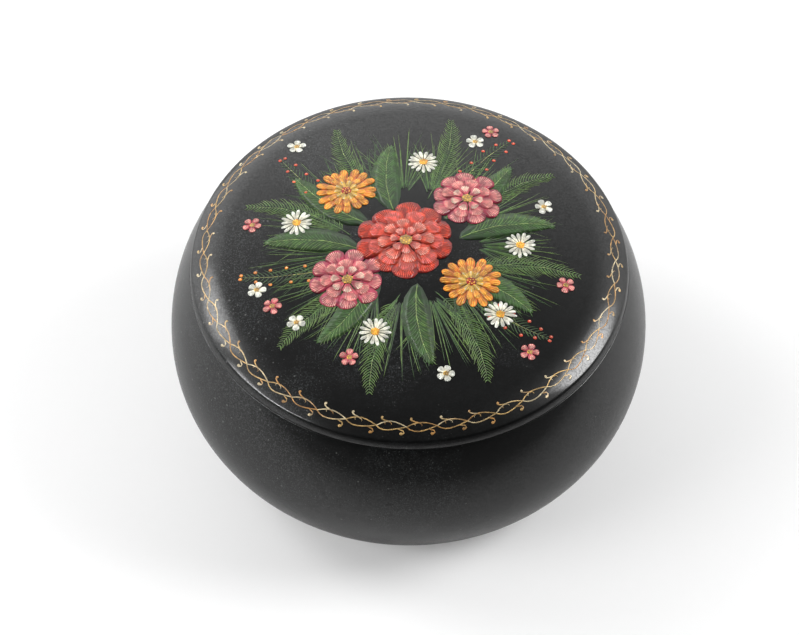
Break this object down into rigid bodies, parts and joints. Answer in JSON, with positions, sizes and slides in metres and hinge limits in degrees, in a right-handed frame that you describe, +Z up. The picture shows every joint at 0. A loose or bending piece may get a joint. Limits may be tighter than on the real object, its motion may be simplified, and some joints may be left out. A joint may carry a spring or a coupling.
{
  "type": "lidded box",
  "caption": "Round lacquered papier-mache box with a bulged body and a low domed lid that lifts off an inner neck, painted with a gold scroll border.",
  "frame": {"origin": "middle of the flat underside, where the box stands", "axes": "+Z up along the box's axis of turning; the body is round, so X and Y are free, and -Y faces the camera of the picture"},
  "size_m": [0.12, 0.12, 0.0612],
  "materials": {
    "black_lacquer": "gloss",
    "red_lacquer": "gloss",
    "gold_line": "satin",
    "leaf_paint": "satin",
    "flower_paint": "satin"
  },
  "bodies": {
    "box": {"body_wall": "black_lacquer", "base_plate": "black_lacquer", "neck_ring": "red_lacquer"},
    "lid": {"lid_dome": "black_lacquer", "lid_ring": "black_lacquer"}
  },
  "joints": [
    {"name": "lid_lift", "type": "slide", "parent": "box", "child": "lid", "axis": [0, 0, 1], "range_m": [0, 0.04]}
  ]
}
